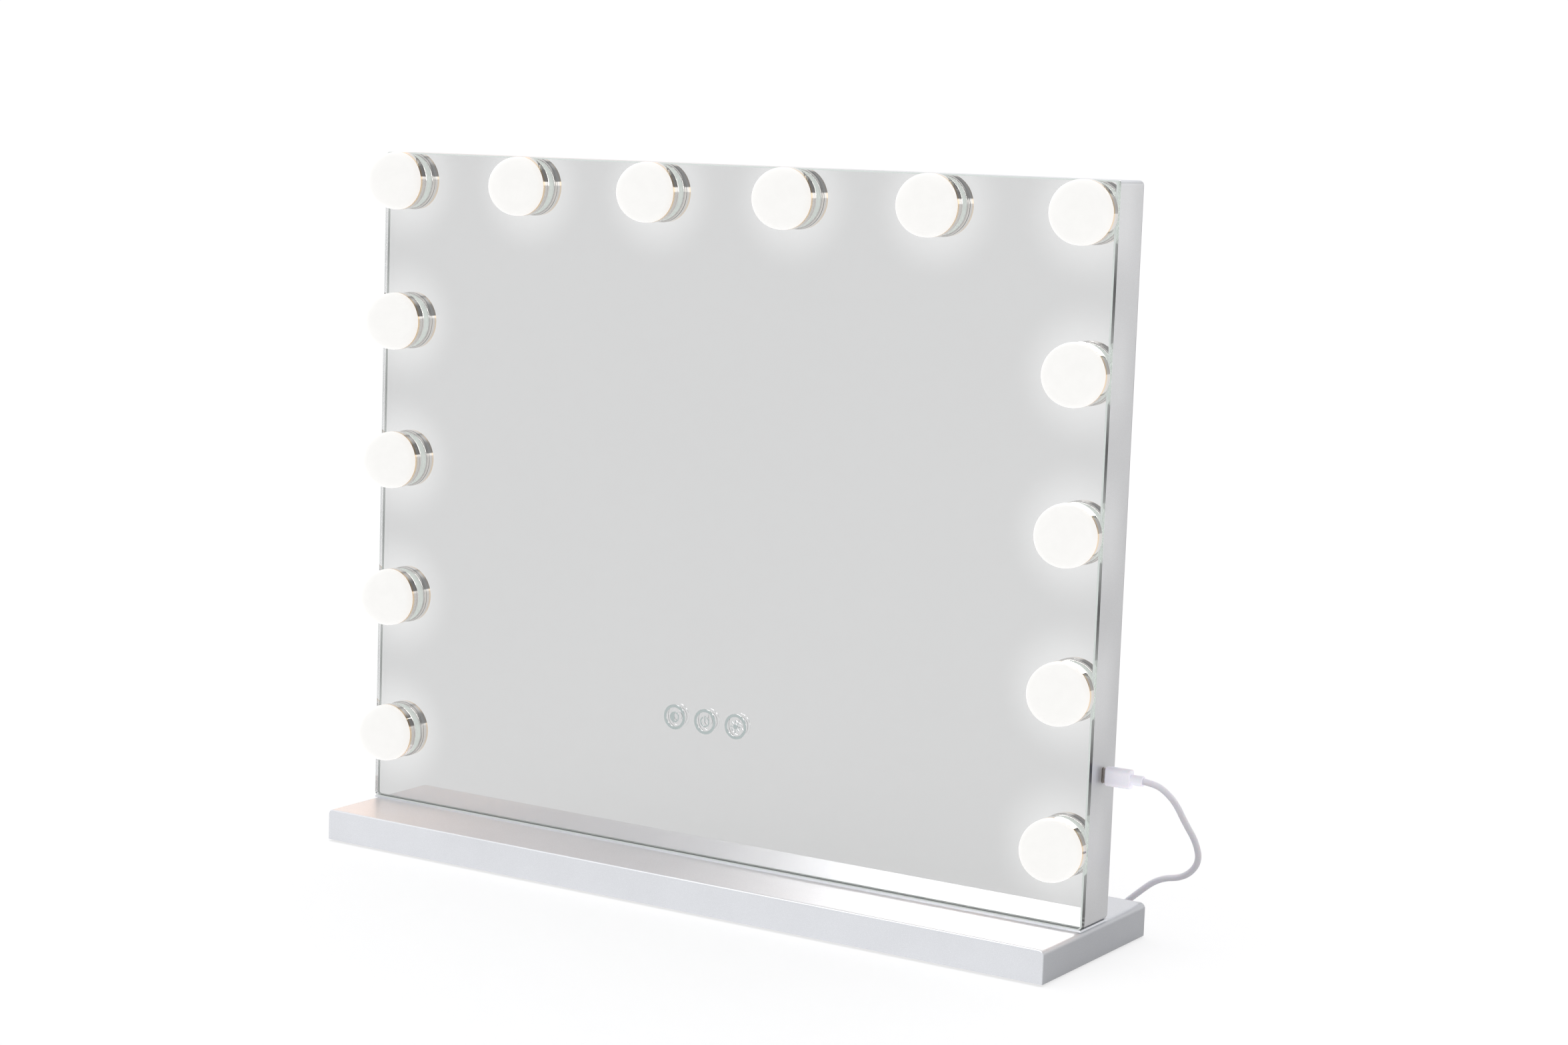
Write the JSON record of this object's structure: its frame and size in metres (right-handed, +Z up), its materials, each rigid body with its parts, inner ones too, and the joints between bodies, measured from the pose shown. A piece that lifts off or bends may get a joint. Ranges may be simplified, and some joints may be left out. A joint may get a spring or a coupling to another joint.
{
  "type": "lighted vanity mirror",
  "caption": "Table-top make-up mirror on a flat stand, with opal bulbs along its top and sides, touch symbols on the glass and a USB lead plugged into its side.",
  "frame": {"origin": "on the table under the middle of the stand", "axes": "+Z up, -Y towards the user, out of the glass, +X to the user's right, along the length of the stand"},
  "size_m": [0.5477, 0.2123, 0.4318],
  "materials": {
    "mirror_glass": "mirror-silvered, polished bevel",
    "frosted_symbols": "frosted",
    "opal": "satin opal, lit from inside",
    "chrome": "polished",
    "black_rubber": "matt",
    "clear_silicone": "translucent",
    "grey_rubber": "matt",
    "white_board": "matt",
    "led_yellow": "gloss",
    "zinc_steel": "zinc plated",
    "silver_paint": "satin, very fine grain",
    "plate_paint": "matt",
    "frame_plastic": "matt",
    "foam_tape": "foam",
    "green_board": "solder mask",
    "wire_sleeve": "satin",
    "nylon": "satin",
    "component_black": "matt",
    "plug_steel": "satin nickel",
    "white_moulding": "satin",
    "white_cord": "satin",
    "tie_strap": "woven hook strap"
  },
  "bodies": {
    "mirror": {"mirror_glass": "mirror_glass", "touch_icons": "frosted_symbols", "bulb_gaskets": "clear_silicone", "bulb_led_boards": "white_board", "bulb_led_chips": "led_yellow", "bulb_nuts": "zinc_steel", "rear_case": "silver_paint", "support_frame": "frame_plastic", "mounting_tape": "foam_tape", "frame_screws": "zinc_steel", "touch_board": "green_board", "touch_wire": "wire_sleeve", "driver_board": "green_board", "driver_standoffs": "nylon", "driver_components": "component_black", "usb_c_inlet": "plug_steel", "led_wire": "wire_sleeve", "case_rail": "zinc_steel", "base_shell": "silver_paint", "base_plate": "plate_paint", "base_screws": "zinc_steel", "rubber_feet": "black_rubber", "stand_spacers": "grey_rubber", "stand_bolts": "zinc_steel", "dome_01": "opal", "collar_01": "chrome", "dome_02": "opal", "collar_02": "chrome", "dome_03": "opal", "collar_03": "chrome", "dome_04": "opal", "collar_04": "chrome", "dome_05": "opal", "collar_05": "chrome", "dome_06": "opal", "collar_06": "chrome", "dome_07": "opal", "collar_07": "chrome", "dome_08": "opal", "collar_08": "chrome", "dome_09": "opal", "collar_09": "chrome", "dome_10": "opal", "collar_10": "chrome", "dome_11": "opal", "collar_11": "chrome", "dome_12": "opal", "collar_12": "chrome", "dome_13": "opal", "collar_13": "chrome", "dome_14": "opal", "collar_14": "chrome"},
    "lead": {"usb_plug_shell": "plug_steel", "usb_plug_body": "white_moulding", "cord_tube": "white_cord", "cord_coil": "white_cord", "coil_tie": "tie_strap", "usb_a_plug_body": "white_moulding", "usb_a_plug_shell": "plug_steel"}
  },
  "joints": [
    {"name": "usb_plug_pull", "type": "slide", "parent": "mirror", "child": "lead", "axis": [1, 0, 0], "range_m": [0, 0.009]}
  ]
}
